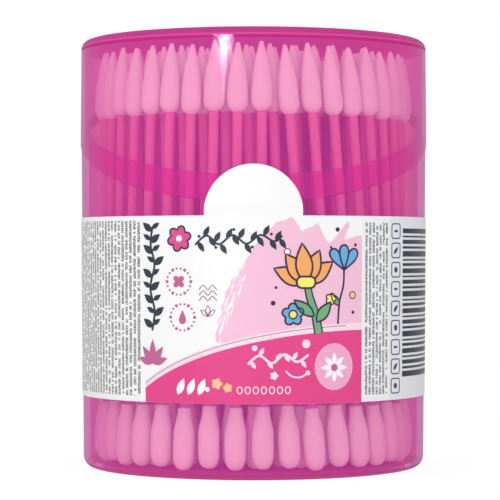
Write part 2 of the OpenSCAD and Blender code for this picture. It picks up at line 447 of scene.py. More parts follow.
cup = turned(
    "cup",
    [
        (cup_foot(), CORNER),
        (cup_outside(), OUTSIDE),
        (cup_neck(), NECK),
        (cup_inside(), INSIDE),
        (cup_floor(), FLAT),
    ],
    "tub",
)
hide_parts("tub")
print("cup:", len(cup.data.polygons), "faces")

# %% [markdown]
# ## The lid
# The lid is turned the same way, from the middle of its ceiling, down the inside to the slanted rim, and up
# the outside over the round corner. Its rim lies on the shoulder of the cup, and its skirt passes the neck
# with less than a tenth of a millimetre to spare.
# Where the wall turns into the top, the corner of the inside shows through and bends light into a bright
# line over a deep one.
# A window shader can't bend light into such lines, so two narrow rings of faces carry a painted highlight
# over a painted shade.

# %% Turn the lid
CEILING_Z = TOP_Z - LID_TOP_T
SHADE_LINE_H = 0.45 * MM
# Degrees round the lid's corner: 0 is at the side and 90 is at the top
SHADE_LINE_END = 1.5
HIGHLIGHT_LINE_FROM = 4
HIGHLIGHT_LINE_TO = 10
MILKY_FROM = 16


def lid_ceiling():
    return [station(0, CEILING_Z), station(LID_INNER_R - INNER_FILLET - EDGE_SOFT, CEILING_Z)]


def lid_inside():
    corner = arc_stations(LID_INNER_R - INNER_FILLET, CEILING_Z - INNER_FILLET, INNER_FILLET, 90, 0)
    under_corner = station(LID_INNER_R, CEILING_Z - INNER_FILLET - EDGE_SOFT)
    rim_in = station(LID_INNER_R, SEAM_H + EDGE_SOFT, SEAM_RISE)
    return corner + [under_corner] + wall_stations(under_corner, rim_in, LID_WALL_ROWS) + [rim_in]


def under_lid_corner(below):
    return station(LID_R - LID_DRAFT, TOP_Z - LID_FILLET - below)


def lid_outside():
    rim_low_in = station(LID_INNER_R + EDGE_SOFT, SEAM_H, SEAM_RISE)
    rim_low_out = station(LID_R - EDGE_SOFT, SEAM_H, SEAM_RISE)
    rim_out = station(LID_R, SEAM_H + EDGE_SOFT, SEAM_RISE)
    side = wall_stations(rim_out, under_lid_corner(SHADE_LINE_H), LID_WALL_ROWS)
    return [rim_low_in, rim_low_out, rim_out] + side


def lid_corner(start, end, steps):
    corner_r = LID_R - LID_DRAFT - LID_FILLET
    return arc_stations(corner_r, TOP_Z - LID_FILLET, LID_FILLET, start, end, steps)


# A narrow ring under the lid's corner that carries the painted shade
def painted_shade_line():
    below_corner = [under_lid_corner(SHADE_LINE_H), under_lid_corner(EDGE_SOFT)]
    return below_corner + lid_corner(0, SHADE_LINE_END, 2)


lid = turned(
    "lid_shell",
    [
        (lid_ceiling(), FLAT),
        (lid_inside(), INSIDE),
        (lid_outside(), OUTSIDE),
        # A painted shade under the corner, then a painted highlight on it
        (painted_shade_line(), PAINTED_SHADE),
        (lid_corner(HIGHLIGHT_LINE_FROM, HIGHLIGHT_LINE_TO, 2), PAINTED_HIGHLIGHT),
        (lid_corner(MILKY_FROM, 90, 7), CORNER),
        ([station(0, TOP_Z)], OUTSIDE),
    ],
    "lid",
)
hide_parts("lid")
print("lid:", len(lid.data.polygons), "faces")

# %% [markdown]
# ## Where the swabs stand
# The solids of the sticks already say where each swab stands and how it leans. Each stick is a plain
# cylinder, so the middle of its lower corners and the middle of its upper corners give its axis.
# The buds are then wound on that axis, so nothing has to be placed twice.

# %% Read the axis of each stick
RINGS = 7
STICK_D = 1.8 * MM
STICK_INSET_POINT = 4.0 * MM
STICK_INSET_ROUND = 2.0 * MM
SAME_SPOT = 0.001 * MM


def loose_parts(mesh):
    """Lists of corner positions, one for each separate part of a mesh."""
    work = bmesh.new()
    work.from_mesh(mesh)
    bmesh.ops.remove_doubles(work, verts=work.verts, dist=SAME_SPOT)
    work.verts.ensure_lookup_table()
    unvisited = set(range(len(work.verts)))
    parts = []
    while unvisited:
        start = unvisited.pop()
        found = [start]
        waiting = [start]
        while waiting:
            vert = work.verts[waiting.pop()]
            for link in vert.link_edges:
                other = link.other_vert(vert).index
                if other in unvisited:
                    unvisited.remove(other)
                    found.append(other)
                    waiting.append(other)
        parts.append(np.array([work.verts[i].co[:] for i in found]))
    work.free()
    return parts


def stick_axes(ring):
    """The lower and the upper end of each stick of a ring, in turn round the tub."""
    axes = []
    for corners in loose_parts(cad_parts[f"swab_sticks_ring_{ring}"].data):
        middle = (corners[:, 2].min() + corners[:, 2].max()) / 2
        low = corners[corners[:, 2] < middle].mean(axis=0)
        high = corners[corners[:, 2] >= middle].mean(axis=0)
        axes.append((low, high))
    return sorted(axes, key=lambda axis: math.atan2(axis[0][0], -axis[0][1]))


swabs = {ring: stick_axes(ring) for ring in range(1, RINGS + 1)}
print("swabs in each ring:", [len(axes) for axes in swabs.values()])

# %% [markdown]
# ## Wound cotton and rolled paper
# A bud is cotton fibre wound round the end of a stick, so its fine lines run round it, and a little along
# it. The meshes below have a map in millimetres, round by along, and the materials read that map: cotton
# has fibre streaks that follow the winding, and paper has the faint spiral line of the rolled strip.
# A painted picture could do this, but a noise pattern stretched along the winding never repeats and has no
# resolution to run out of.

# %% Make the cotton and the paper
COTTON_LIGHT = seen(250, 246, 243)
COTTON_DEEP = seen(250, 232, 242)
# How fine each pattern is, to the millimetre: round the bud, then along it
STREAKS_PER_MM = (0.5, 5.0, 1.0)
TUFTS_PER_MM = (0.8, 0.8, 1.0)
STREAK_SHARE = 0.6
FIBRE_H = 0.2 * MM
FIBRE_STRENGTH = 0.6
COTTON_ROUGHNESS = 0.95
COTTON_SHEEN = 0.3
COTTON_SHEEN_ROUGHNESS = 0.6
PAPER_PINK = seen(234, 136, 172)
PAPER_DEEP = seen(222, 110, 150)
GRAIN_PER_MM = (6.0, 1.2, 1.0)
GRAIN_H = 0.03 * MM
GRAIN_STRENGTH = 0.5
PAPER_ROUGHNESS = 0.6
PAPER_STRIP_MM = 6.0
PAPER_EDGE = 0.05
PAPER_EDGE_DEEPER = 0.3


def winding_map(chain):
    return chain.add("ShaderNodeUVMap", uv_map="winding").outputs["UV"]


def cotton(name):
    chain = Chain(name)
    where = winding_map(chain)
    streaks = chain.noise(chain.stretch(where, STREAKS_PER_MM), 1.0, detail=4.0, roughness=0.65)
    tufts = chain.noise(chain.stretch(where, TUFTS_PER_MM), 1.0, detail=3.0)
    streak_part = chain.math("MULTIPLY", streaks, STREAK_SHARE)
    tone = chain.math("ADD", streak_part, chain.math("MULTIPLY", tufts, 1 - STREAK_SHARE))
    body = chain.principled(chain.mix(tone, COTTON_DEEP, COTTON_LIGHT), COTTON_ROUGHNESS, specular=0.1)
    body.inputs["Sheen Weight"].default_value = COTTON_SHEEN
    body.inputs["Sheen Roughness"].default_value = COTTON_SHEEN_ROUGHNESS
    chain.plug(body.inputs["Normal"], chain.bump(tone, FIBRE_H, FIBRE_STRENGTH))
    return chain.finish(body.outputs[0])


def rolled_paper(name):
    chain = Chain(name)
    where = winding_map(chain)
    split = chain.add("ShaderNodeSeparateXYZ")
    chain.plug(split.inputs[0], where)
    round_share = chain.math("MULTIPLY", split.outputs["X"], 1 / (math.pi * STICK_D / MM))
    turns = chain.math("MULTIPLY_ADD", split.outputs["Y"], 1 / PAPER_STRIP_MM, round_share)
    edge = chain.math("LESS_THAN", chain.math("FRACT", turns), PAPER_EDGE)
    grain = chain.noise(chain.stretch(where, GRAIN_PER_MM), 1.0, detail=3.0)
    even = chain.math("MULTIPLY_ADD", grain, 0.5, 0.5)
    tone = chain.math("SUBTRACT", even, chain.math("MULTIPLY", edge, PAPER_EDGE_DEEPER), clamp=True)
    body = chain.principled(chain.mix(tone, PAPER_DEEP, PAPER_PINK), PAPER_ROUGHNESS)
    chain.plug(body.inputs["Normal"], chain.bump(tone, GRAIN_H, GRAIN_STRENGTH))
    return chain.finish(body.outputs[0])


cotton_finish = cotton("wound_cotton")
paper_finish = rolled_paper("rolled_paper")
print("made", cotton_finish.name, "and", paper_finish.name)

# %% [markdown]
# ## Winding a ring of buds
# All the buds at one end of a ring are one mesh. Each is a small lathe round its own stick, and each gets a
# shape of its own: a little fatter or thinner, slightly out of round, with the soft lumps of wound fibre.
# The lumps only ever take a little off, so no bud grows into the next one.
# The chance behind them starts from a fixed seed, so every run winds the same buds.

# %% Outlines of the two buds
POINT_D = 3.8 * MM
POINT_L = 12.2 * MM
POINT_WIDEST = 10.0 * MM
POINT_TIP_R = 0.3 * MM
POINT_END_POWER = 2.8
ROUND_D = 3.95 * MM
ROUND_L = 11.0 * MM
ROUND_DOME = 3.1 * MM
ROUND_POWER = 2.6
ROUND_TAPER_AT = 5.8 * MM
ROUND_NECK_D = 2.45 * MM
ROUND_BEVEL = 0.15 * MM
LONG_ROWS = 13
END_ROWS = 8
TAPER_ROWS = 9


def bulge(share, power):
    """1 at share 0 and 0 at share 1. A power of 2 is a quarter circle, and a higher one is fuller."""
    return (1 - share**power) ** (1 / power)


def point_outline():
    """Heights from the tip down and radii of a pointed bud."""
    outline = []
    for s in np.linspace(0, 1, LONG_ROWS):
        wider = (POINT_D / 2 - POINT_TIP_R) * (1 - (1 - s) ** 2)
        outline.append((POINT_WIDEST * s, POINT_TIP_R + wider))
    for s in np.linspace(0, 1, END_ROWS)[1:]:
        u = math.sin(math.pi / 2 * s)
        radius = POINT_D / 2 * bulge(u, POINT_END_POWER)
        outline.append((POINT_WIDEST + (POINT_L - POINT_WIDEST) * u, max(radius, STICK_D / 2)))
    return outline


def round_outline():
    """Heights from the end up and radii of a round bud."""
    outline = []
    for s in np.linspace(0, 1, LONG_ROWS)[1:]:
        outline.append((ROUND_DOME * s**2, ROUND_D / 2 * bulge(1 - s**2, ROUND_POWER)))
    for s in np.linspace(0, 1, TAPER_ROWS):
        narrow = (ROUND_D - ROUND_NECK_D) / 4 * (1 - math.cos(math.pi * s))
        outline.append((ROUND_TAPER_AT + (ROUND_L - ROUND_TAPER_AT) * s, ROUND_D / 2 - narrow))
    outline.append((ROUND_L + ROUND_BEVEL, STICK_D / 2))
    return outline


print("a pointed bud has", len(point_outline()), "rings of points, a round one", len(round_outline()))

# %% Wind soft shapes round the sticks
BUD_CORNERS = 20
STICK_CORNERS = 14
LUMP = 0.045 * MM
THINNER_BY_AT_MOST = 0.02
# Each wave: how many times it goes round, how far it shifts in a millimetre of height, how strong it is
LUMP_WAVES = ((2, 0.5, 0.5), (3, -0.9, 0.35), (1, 1.7, 0.4))
LUMPS_IN = 0.9
WOUND_SHARP_ANGLE = math.radians(60)


def lump_at(turn, height, starts):
    """Between about -2 and 0: how far in the surface lies, in lumps."""
    soft = 0.0
    for (times, shift, strength), start in zip(LUMP_WAVES, starts):
        soft += math.sin(times * turn + start + height / MM * shift) * strength
    return soft - LUMPS_IN


def wind(start, toward, outline, corners, chance, lump):
    """Points of one small lathe, and its widest radius."""
    along = Vector(toward - start).normalized()
    side = along.orthogonal().normalized()
    other = along.cross(side)
    size = 1 + chance.uniform(-THINNER_BY_AT_MOST, 0.0) if lump else 1.0
    wave_starts = chance.uniform(0, 2 * math.pi, 3)
    widest = max(radius for height, radius in outline)
    points = [Vector(start)]
    for height, radius in outline:
        middle = Vector(start) + along * height
        for i in range(corners):
            turn = 2 * math.pi * i / corners
            outward = side * math.cos(turn) + other * math.sin(turn)
            r = radius * size + lump * lump_at(turn, height, wave_starts) * (radius / widest) ** 2
            points.append(middle + outward * r)
    return points, widest


def wound_mesh(name, ends, outline, seed, lump, corners):
    """One mesh of small lathes. Each end is a start point and a point that the lathe heads for."""
    chance = np.random.RandomState(seed)
    points, faces, maps = [], [], []
    for start, toward in ends:
        first = len(points) + 1
        wound, widest = wind(start, toward, outline, corners, chance, lump)
        points += wound
        # Each bud reads the pattern somewhere else, so no two look alike
        shift = chance.uniform(0, 50)
        step = 2 * math.pi * widest / MM / corners
        for i in range(corners):
            faces.append((first - 1, first + (i + 1) % corners, first + i))
            maps.append([(i * step + shift, 0)] * 3)
        for row, (low, high) in enumerate(zip(outline, outline[1:])):
            base = first + row * corners
            low_v = low[0] / MM
            high_v = high[0] / MM
            for i in range(corners):
                j = (i + 1) % corners
                faces.append((base + i, base + j, base + corners + j, base + corners + i))
                left = i * step + shift
                right = (i + 1) * step + shift
                maps.append([(left, low_v), (right, low_v), (right, high_v), (left, high_v)])
        last = first + (len(outline) - 1) * corners
        faces.append(tuple(last + i for i in range(corners)))
        maps.append([(shift, 0)] * corners)
    mesh = bpy.data.meshes.new(name)
    mesh.from_pydata(points, [], faces)
    uv = mesh.uv_layers.new(name="winding")
    uv.data.foreach_set("uv", [value for face in maps for corner in face for value in corner])
    work = bmesh.new()
    work.from_mesh(mesh)
    bmesh.ops.recalc_face_normals(work, faces=work.faces)
    work.to_mesh(mesh)
    work.free()
    mesh.shade_smooth()
    mesh.set_sharp_from_angle(angle=WOUND_SHARP_ANGLE)
    return mesh


print("a bud goes round in", BUD_CORNERS, "corners, a stick in", STICK_CORNERS)

# %% Wind the swabs of all rings
POINT_SEED = 100
ROUND_SEED = 200
STICK_SEED = 300


def wind_buds(name, ends, outline, seed, node):
    mesh = wound_mesh(name, ends, outline, seed, LUMP, BUD_CORNERS)
    piece = add_object(name, mesh, "tub", cotton_finish)
    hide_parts(node)
    return len(mesh.polygons)


def roll_sticks(name, axes, seed, node):
    length = np.linalg.norm(axes[0][1] - axes[0][0])
    straight = [(0.0, STICK_D / 2), (length, STICK_D / 2)]
    mesh = wound_mesh(name, axes, straight, seed, 0.0, STICK_CORNERS)
    piece = add_object(name, mesh, "tub", paper_finish)
    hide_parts(node)
    return len(mesh.polygons)


for ring, axes in swabs.items():
    tops, feet = [], []
    for low, high in axes:
        along = (high - low) / np.linalg.norm(high - low)
        tops.append((high + along * STICK_INSET_POINT, low))
        feet.append((low - along * STICK_INSET_ROUND, high))
    node = f"pointed_buds_ring_{ring}"
    faces = wind_buds(f"pointed_cotton_{ring}", tops, point_outline(), POINT_SEED + ring, node)
    node = f"round_buds_ring_{ring}"
    faces += wind_buds(f"round_cotton_{ring}", feet, round_outline(), ROUND_SEED + ring, node)
    node = f"swab_sticks_ring_{ring}"
    faces += roll_sticks(f"paper_sticks_{ring}", axes, STICK_SEED + ring, node)
    print("ring", ring, "has", len(axes), "swabs in", faces, "faces")

# %% [markdown]
# ## The label film
# The label is one strip of printed film, glued round the cup, with its end lapped over its start at the
# back. At the front a half-round tab stands up from it, over the seam and in front of the lid, so the film
# has to step out from the cup to the rim of the lid.
# The film and its print are drawn flat, in millimetres, as grids and outlines. They are then given their
# thickness and wrapped, and the flat millimetres stay on them as a map: first how far round from the front,
# then how high. A label drawn straight onto the round would be harder to measure and to draw on.

# %% Wrap flat things round the tub
WRAP_R_MM = 32.0
FILM_T = 0.12
GLUE_T = 0.02
TAB_GAP = 0.12
LABEL_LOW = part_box("label")[0].z / MM
LABEL_GAP = 2.2
LABEL_TOP = LID_LOW_Z / MM - LABEL_GAP
TAB_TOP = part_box("label")[1].z / MM
TAB_R = 8.65
TAB_MIDDLE = TAB_TOP - TAB_R
TAB_ROUND_R = LID_R / MM + TAB_GAP
HALF_ROUND_MM = math.pi * WRAP_R_MM
# The strip is longer than the round by LAP_MM at each end, and its upper end rises before it meets the
# lower one
LAP_MM = 2.5
LAP_RISE_BEFORE = 1.4
LAP_RISE_LENGTH = 1.2


def eased(share):
    """Runs from 0 to 1 with a soft start and a soft end."""
    share = min(max(share, 0), 1)
    return share * share * (3 - 2 * share)


def film_inner_r(v):
    """Radius of the film's inner face in millimetres, v above the floor, at the front."""
    on_cup = FOOT_R / MM + DRAFT / MM * min(v, LABEL_TOP) / (SEAM_H / MM) + GLUE_T
    return on_cup + (TAB_ROUND_R - on_cup) * eased((v - LABEL_TOP) / LABEL_GAP)


def lapped(u):
    """How far the lapped end of the strip is lifted off its start."""
    past_rise = u - (HALF_ROUND_MM - LAP_MM - LAP_RISE_BEFORE)
    return (FILM_T - GLUE_T / 2) * eased(past_rise / LAP_RISE_LENGTH)


def wrap(u, v, w):
    turn = u / WRAP_R_MM
    r = film_inner_r(v) + lapped(u) + w
    return Vector((r * math.sin(turn), -r * math.cos(turn), v)) * MM


def wrapped(name, flat, low, high, material):
    """Gives a flat mesh the thickness from low to high, wraps it, and puts it on the label."""
    thick = bmesh.ops.extrude_face_region(flat, geom=flat.faces[:])["geom"]
    for vert in flat.verts:
        vert.co.z = low
    for item in thick:
        if isinstance(item, bmesh.types.BMVert):
            item.co.z = high
    bmesh.ops.recalc_face_normals(flat, faces=flat.faces[:])
    flat_place = flat.loops.layers.uv.new("print")
    for face in flat.faces:
        for loop in face.loops:
            loop[flat_place].uv = loop.vert.co[:2]
    for vert in flat.verts:
        vert.co = wrap(*vert.co)
    mesh = bpy.data.meshes.new(name)
    flat.to_mesh(mesh)
    flat.free()
    piece = add_object(name, mesh, "tub", material)
    mesh.shade_smooth()
    mesh.set_sharp_from_angle(angle=WALL_SHARP_ANGLE)
    return piece


print("the label starts", round(LABEL_LOW, 2), "mm above the floor and ends at", round(LABEL_TOP, 2), "mm")
print("its tab reaches up to", round(TAB_TOP, 2), "mm")

# %% [markdown]
# ## Small print
# Most of the label's left side and a strip on its right are filled with columns of very small grey print.
# Here it says nothing: each column is a row of short strokes, with gaps like the gaps between words.
# White noise gives every letter place of a column a chance of its own, and a finer noise breaks the letters
# into strokes, so that it reads as print from a step away and as nothing from close by.

# %% Make the film and its small print
FILM_WHITE = seen(242, 242, 242)
# This grey is painted shade: the film's right side, turned away from the lamps at the left, made greyer
FILM_SHADE_GREY = seen(228, 229, 233)
PRINT_GREY = seen(24, 30, 48)
PRINT_COVER = 0.92
FILM_ROUGHNESS = 0.32
# Columns of small print, in label millimetres
LEFT_PRINT = {"left": -46.8, "right": -21.5, "pitch": 1.02, "low": 14.4, "high": 45.3}
RIGHT_PRINT = {"left": 21.0, "right": 27.0, "pitch": 0.86, "low": 14.6, "high": 45.0}
LINE_FROM = 0.18
LINE_TO = 0.8
LETTER_MM = 0.36
GAP_CHANCE = 0.16
STROKES_PER_MM = 5.2
STROKE_FROM = 0.45
# Where the bare film is greyer, as painted shade on the right side that turns away from the lamps:
# fully at the stripes, a little at the print beside them
FILM_SHADE_FROM = 27.4
FILM_SHADE_TO = 55.0
FILM_SHADE_BESIDE_FROM = 20.35
FILM_SHADE_BESIDE_SHARE = 0.35


def print_map(chain):
    return chain.add("ShaderNodeUVMap", uv_map="print").outputs["UV"]


def between(chain, value, low, high):
    above_low = chain.math("GREATER_THAN", value, low)
    below_high = chain.math("LESS_THAN", value, high)
    return chain.math("MULTIPLY", above_low, below_high)


def chance_at(chain, x, y):
    place = chain.add("ShaderNodeCombineXYZ")
    chain.plug(place.inputs["X"], x)
    chain.plug(place.inputs["Y"], y)
    node = chain.add("ShaderNodeTexWhiteNoise", noise_dimensions="2D")
    chain.plug(node.inputs["Vector"], place.outputs[0])
    return node.outputs["Value"]


def print_columns(chain, u, v, left, right, pitch, low, high):
    """1 where a column of small print has ink, between left and right and low and high."""
    columns = chain.math("MULTIPLY_ADD", u, 1 / pitch, -left / pitch)
    column = chain.math("FLOOR", columns)
    in_line = between(chain, chain.math("FRACT", columns), LINE_FROM, LINE_TO)
    start = chance_at(chain, column, 0.5)
    letters = chain.math("FLOOR", chain.math("ADD", chain.math("DIVIDE", v, LETTER_MM), start))
    letter_there = chain.math("GREATER_THAN", chance_at(chain, column, letters), GAP_CHANCE)
    strokes = chain.noise(print_map(chain), STROKES_PER_MM, detail=0.0)
    stroke_there = chain.math("GREATER_THAN", strokes, STROKE_FROM)
    inside = chain.math("MULTIPLY", between(chain, u, left, right), between(chain, v, low, high))
    ink = chain.math("MULTIPLY", chain.math("MULTIPLY", in_line, letter_there), stroke_there)
    return chain.math("MULTIPLY", ink, inside)


def printed_film(name):
    chain = Chain(name)
    split = chain.add("ShaderNodeSeparateXYZ")
    chain.plug(split.inputs[0], print_map(chain))
    u = split.outputs["X"]
    v = split.outputs["Y"]
    left = print_columns(chain, u, v, **LEFT_PRINT)
    right = print_columns(chain, u, v, **RIGHT_PRINT)
    ink_share = chain.math("MULTIPLY", chain.math("MAXIMUM", left, right), PRINT_COVER)
    # Painted shade on the bare film's right side, strongest over the stripes
    shade_beside = between(chain, u, FILM_SHADE_BESIDE_FROM, FILM_SHADE_FROM)
    shade_at_stripes = between(chain, u, FILM_SHADE_FROM, FILM_SHADE_TO)
    right_side_shade = chain.math("ADD", shade_at_stripes, chain.math("MULTIPLY", shade_beside, FILM_SHADE_BESIDE_SHARE))
    shaded_bare = chain.mix(right_side_shade, FILM_WHITE, FILM_SHADE_GREY)
    body = chain.principled(chain.mix(ink_share, shaded_bare, PRINT_GREY), FILM_ROUGHNESS, specular=0.32)
    return chain.finish(body.outputs[0])


film_finish = printed_film("printed_film")
print("small print in columns of", LEFT_PRINT["pitch"], "and", RIGHT_PRINT["pitch"], "mm")

# %% [markdown]
# ## The strip and its tab
# The film itself is one flat grid of small faces, fine enough to bend round the tub without corners.
# A grid of squares would leave steps along the half round of the tab. Here the columns of the tab stand
# closer together towards its ends, where the outline runs steeply, and its last row lies on the outline,
# so the edge is smooth.

# %% Lay the strip of film
STRIP_STEP = 0.56
STRIP_ROWS = 12
TAB_COLUMNS = 61
TAB_ROWS = 17


def tab_turns():
    """How far round from the front each column of the tab lies. They are closer together at its ends."""
    across = [TAB_R * math.sin(a) for a in np.linspace(-math.pi / 2, math.pi / 2, TAB_COLUMNS)]
    return [WRAP_R_MM * math.asin(x / TAB_ROUND_R) for x in across]


def tab_edge_height(u):
    x = TAB_ROUND_R * math.sin(u / WRAP_R_MM)
    return TAB_MIDDLE + math.sqrt(max(TAB_R**2 - x * x, 0))


def fill_between(flat, low, high):
    for i in range(len(low) - 1):
        flat.faces.new((low[i], low[i + 1], high[i + 1], high[i]))


def strip_grid():
    """The flat strip as a grid of faces, with the half-round tab at its middle."""
    edge = HALF_ROUND_MM + LAP_MM
    tab = tab_turns()
    side = np.arange(tab[-1], edge, STRIP_STEP)[1:]
    columns = [-edge, *(-side[::-1]), *tab, *side, edge]
    flat = bmesh.new()
    rows = []
    for v in np.linspace(LABEL_LOW, LABEL_TOP, STRIP_ROWS):
        rows.append([flat.verts.new((u, v, 0)) for u in columns])
    for low, high in zip(rows, rows[1:]):
        fill_between(flat, low, high)
    first = 1 + len(side)
    below = rows[-1][first:first + len(tab)]
    for share in np.linspace(0, 1, TAB_ROWS)[1:]:
        heights = [LABEL_TOP + (tab_edge_height(u) - LABEL_TOP) * share for u in tab]
        above = [flat.verts.new((u, v, 0)) for u, v in zip(tab, heights)]
        fill_between(flat, below, above)
        below = above
    return flat


film = wrapped("label_film", strip_grid(), 0.0, FILM_T, film_finish)
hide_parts("label")
print("label film:", len(film.data.polygons), "faces")

# %% [markdown]
# ## Printed shapes
# The print is made of simple shapes, each a flat outline in label millimetres. A picture could be painted
# instead, but shapes stay crisp at any size and each ink stays one plain material.
# The helpers below return outlines. `ink` puts them on a list for one ink and one layer, and the lists are
# wrapped round the tub at the end, each layer a little further out, as ink lies over ink.

# %% Mix the inks
INKS = {
    "hot_pink": (224, 66, 135),
    "wash_pink": (239, 190, 213),
    "pale_pink": (243, 218, 229),
    "disc_pink": (238, 166, 198),
    "blossom_pink": (218, 78, 142),
    "mauve": (192, 98, 148),
    "thin_mauve": (144, 72, 124),
    "slate": (44, 56, 70),
    "plum": (58, 36, 78),
    "orange": (240, 168, 98),
    "pale_orange": (242, 194, 142),
    "yellow": (242, 232, 112),
    "green": (110, 172, 120),
    "blue": (104, 172, 214),
    "white": (243, 242, 243),
    "navy": (28, 32, 48),
    "icon_grey": (62, 64, 76),
}
drawing = {}


def ink(name, layer, *outlines):
    """Puts outlines on the list of one ink and one layer."""
    drawing.setdefault((name, layer), []).extend(outlines)


def count_outlines():
    return sum(len(outlines) for outlines in drawing.values())


print("inks:", len(INKS))

# %% Outlines of petals, leaves and dots
PETAL_CORNERS = 12
LEAF_POWER = 0.85
DROP_POWER = 0.75
DROP_FULLER = 1.12


def placed(outline, u, v, turn):
    """The outline turned about its origin by degrees, and then moved to u, v."""
    cos = math.cos(math.radians(turn))
    sin = math.sin(math.radians(turn))
    return [(u + x * cos - y * sin, v + x * sin + y * cos) for x, y in outline]


def oval(u, v, half_w, half_h, corners=32):
    turns = np.linspace(0, 2 * math.pi, corners, endpoint=False)
    return [(u + half_w * math.cos(a), v + half_h * math.sin(a)) for a in turns]


def blossom(u, v, radius, petals=5, turn=0.0, depth=0.32):
    """A flower with rounded petals. The depth is how far in the gaps between them reach."""
    turns = np.linspace(0, 2 * math.pi, petals * PETAL_CORNERS, endpoint=False)
    reach = [radius * (1 - depth * (1 - abs(math.cos(petals * a / 2)))) for a in turns]
    return placed([(r * math.cos(a), r * math.sin(a)) for r, a in zip(reach, turns)], u, v, turn)


def leaf(u, v, length, width, turn):
    """A pointed oval that starts at u, v and reaches towards turn. Its wide part is nearer the start."""
    shares = np.linspace(0, 1, 13)
    above = [(length * s, width / 2 * math.sin(math.pi * s**LEAF_POWER)) for s in shares]
    below = [(x, -y) for x, y in above[-2:0:-1]]
    return placed(above + below, u, v, turn)


def drop(u, v, length, width, turn):
    """A drop with its point at u, v and its round end towards turn."""
    turns = np.linspace(0, 2 * math.pi, 36, endpoint=False)
    shape = []
    for a in turns:
        share = (1 - math.cos(a)) / 2
        half_w = width / 2 * DROP_FULLER * math.sin(a) * share**DROP_POWER
        shape.append((length * share, half_w))
    return placed(shape, u, v, turn)


def rounded_box(u0, v0, u1, v1, radius):
    outline = []
    for cu, cv, start in ((u1, v1, 0), (u0, v1, 90), (u0, v0, 180), (u1, v0, 270)):
        mid_u = cu - radius if cu == u1 else cu + radius
        mid_v = cv - radius if cv == v1 else cv + radius
        for a in np.radians(np.linspace(start, start + 90, 5)):
            outline.append((mid_u + radius * math.cos(a), mid_v + radius * math.sin(a)))
    return outline


print("a blossom has", len(blossom(0, 0, 1)), "corners, a leaf", len(leaf(0, 0, 2, 1, 0)))

# %% Lines along a path
CURVE_STEPS = 9
OUTLINE_W = 0.32


def line(path, width, closed=False):
    """Four-cornered pieces along a path. The width is one number, or one for each point."""
    spots = np.array(path, dtype=float)
    if closed:
        before = np.roll(spots, 1, axis=0)
        after = np.roll(spots, -1, axis=0)
    else:
        before = np.vstack([spots[:1], spots[:-1]])
        after = np.vstack([spots[1:], spots[-1:]])
    along = after - before
    along /= np.linalg.norm(along, axis=1)[:, None] + 1e-9
    half = np.broadcast_to(np.array(width, dtype=float), len(spots))[:, None] / 2
    side = np.stack([-along[:, 1], along[:, 0]], axis=1) * half
    left = spots + side
    right = spots - side
    pieces = []
    for i in range(len(spots) if closed else len(spots) - 1):
        j = (i + 1) % len(spots)
        pieces.append([tuple(left[i]), tuple(right[i]), tuple(right[j]), tuple(left[j])])
    return pieces


def curve(*spots):
    """A smooth path through the given spots."""
    ends = [spots[0], *spots, spots[-1]]
    path = []
    for a, b, c, d in zip(ends, ends[1:], ends[2:], ends[3:]):
        a, b, c, d = (np.array(p, dtype=float) for p in (a, b, c, d))
        for s in np.linspace(0, 1, CURVE_STEPS, endpoint=False):
            squared = (2 * a - 5 * b + 4 * c - d) * s**2
            cubed = (3 * b - a - 3 * c + d) * s**3
            path.append(tuple((2 * b + (c - a) * s + squared + cubed) / 2))
    return path + [tuple(spots[-1])]


def outlined(outline, fill, layer, edge_w=OUTLINE_W, edge_ink="plum"):
    """A filled shape, and a line of the given width round it, one layer higher."""
    ink(fill, layer, outline)
    ink(edge_ink, layer + 1, *line(outline, edge_w, closed=True))


print("a curve through three spots has", len(curve((0, 0), (1, 1), (2, 0))), "points")

# %% [markdown]
# ## What the label shows
# A pink brush stroke runs across the white film, and below it a hot pink field rises to the right in an
# arc, with a pale band and a hair line along it. These colours and places are the real label's.
# Everything that is drawn on them is made up for this tub: a garden in the same inks and about as busy,
# with a garland, a sprig, rings of dots, and flowers drawn with a dark line.
# The arc is part of a large oval. The brush stroke is one outline with a ragged edge, and short white
# leaves laid over its left side give the dry bristle marks. Their places come from a fixed seed.

# %% Lay the fields of colour
FIELD_LEFT = -20.34
FIELD_RIGHT = 20.35
FIELD_LOW = LABEL_LOW + 0.02
ARC_TOP = 26.1
ARC_MIDDLE = 20.2
ARC_HALF_W = 48
ARC_HALF_H = 22
BAND_W = 1.25
HAIR_LINE_OVER_ARC = 0.84
HAIR_LINE_END = 17.0
BRISTLE_MARKS = 46
BRISTLE_SEED = 7


def arc_height(u):
    return ARC_TOP - ARC_HALF_H * (1 - math.sqrt(1 - ((u - ARC_MIDDLE) / ARC_HALF_W) ** 2))


def along_arc(lift, left=FIELD_LEFT, right=FIELD_RIGHT, steps=60):
    return [(u, arc_height(u) + lift) for u in np.linspace(left, right, steps)]


ink("hot_pink", 2, [(FIELD_LEFT, FIELD_LOW), *along_arc(0.0), (FIELD_RIGHT, FIELD_LOW)][::-1])
ink("pale_pink", 2, along_arc(BAND_W) + along_arc(0.0)[::-1])
ink("thin_mauve", 3, *line(along_arc(HAIR_LINE_OVER_ARC, right=HAIR_LINE_END), 0.11))

